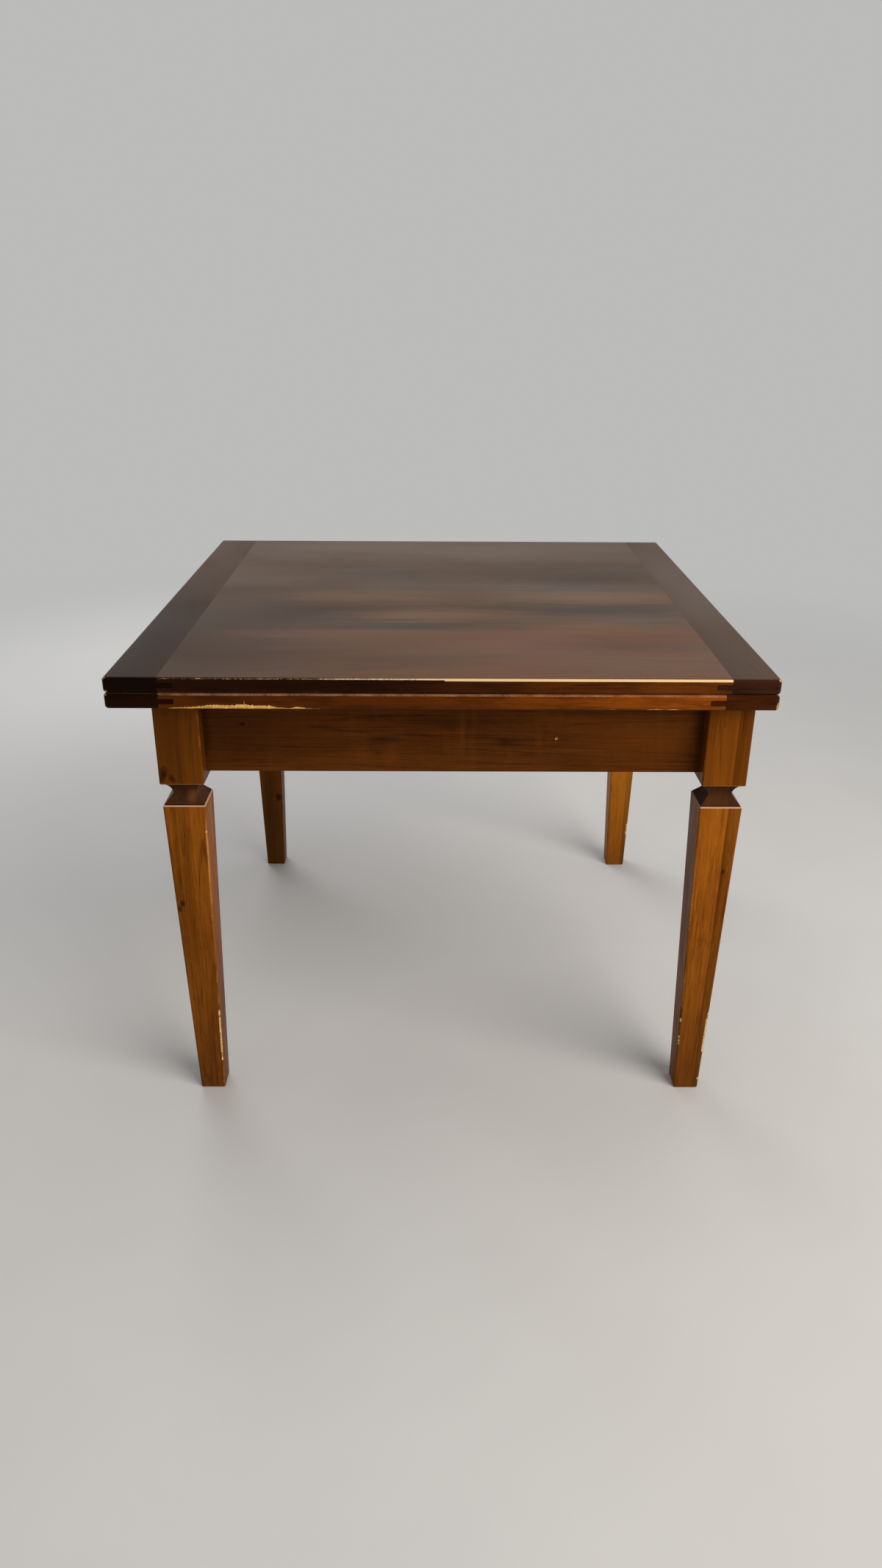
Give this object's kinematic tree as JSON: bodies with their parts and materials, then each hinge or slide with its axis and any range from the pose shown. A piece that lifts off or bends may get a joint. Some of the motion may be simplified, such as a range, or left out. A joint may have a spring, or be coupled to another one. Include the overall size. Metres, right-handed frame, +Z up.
{
  "type": "flip-top extending table",
  "caption": "Square dining table whose stacked hinged top slides sideways on the frame and turns over to double its length, on tapered legs with carved necks.",
  "frame": {"origin": "on the floor under the middle of the whole table's box at rest, with the top 18 mm to the left of the frame's middle", "axes": "+X to the right along the opening, +Y from the front to the back, +Z up"},
  "size_m": [1.0032, 1, 0.79],
  "materials": {
    "leg_walnut": "satin stained, upright grain",
    "apron_walnut": "satin, dark reddish stain, level grain",
    "panel_walnut": "satin lacquer, dark greyish brown, grain along the opening",
    "batten_walnut": "satin lacquer, dark brown, grain along the batten",
    "plain_beech": "unfinished planed hardwood",
    "hinge_brass": "satin, a little tarnished",
    "zinc_steel": "zinc plated",
    "brown_felt": "felt"
  },
  "bodies": {
    "base": {"leg_front_left": "leg_walnut", "leg_front_right": "leg_walnut", "leg_back_right": "leg_walnut", "leg_back_left": "leg_walnut", "apron_front": "apron_walnut", "apron_back": "apron_walnut", "apron_left": "apron_walnut", "apron_right": "apron_walnut", "corner_block_front_left": "plain_beech", "corner_block_front_right": "plain_beech", "corner_block_back_right": "plain_beech", "corner_block_back_left": "plain_beech", "corner_bolts": "zinc_steel", "corner_block_screws": "zinc_steel", "guide_rail_front": "plain_beech", "guide_rail_back": "plain_beech", "guide_rail_screws": "zinc_steel", "rail_stops": "plain_beech", "cross_rail": "plain_beech", "felt_left": "brown_felt", "felt_right": "brown_felt", "felt_centre": "brown_felt"},
    "lower_top": {"lower_panel": "panel_walnut", "lower_batten_left": "batten_walnut", "lower_batten_right": "batten_walnut", "runner_front": "plain_beech", "runner_back": "plain_beech", "runner_screws": "zinc_steel", "leaf_pads": "brown_felt", "hinge_plate_lower_front": "hinge_brass", "hinge_plate_lower_middle": "hinge_brass", "hinge_plate_lower_back": "hinge_brass", "hinge_pins": "hinge_brass", "hinge_screws_lower": "hinge_brass"},
    "upper_top": {"upper_panel": "panel_walnut", "upper_batten_left": "batten_walnut", "upper_batten_right": "batten_walnut", "hinge_plate_upper_front": "hinge_brass", "hinge_plate_upper_middle": "hinge_brass", "hinge_plate_upper_back": "hinge_brass", "hinge_screws_upper": "hinge_brass"}
  },
  "joints": [
    {"name": "top_slide", "type": "slide", "parent": "base", "child": "lower_top", "axis": [-1, 0, 0], "range_m": [-0.018, 0.482]},
    {"name": "leaf_hinge", "type": "hinge", "parent": "lower_top", "child": "upper_top", "pos_m": [0.49865, 0, 0.7655], "axis": [0, 1, 0], "range_deg": [0, 180]}
  ]
}
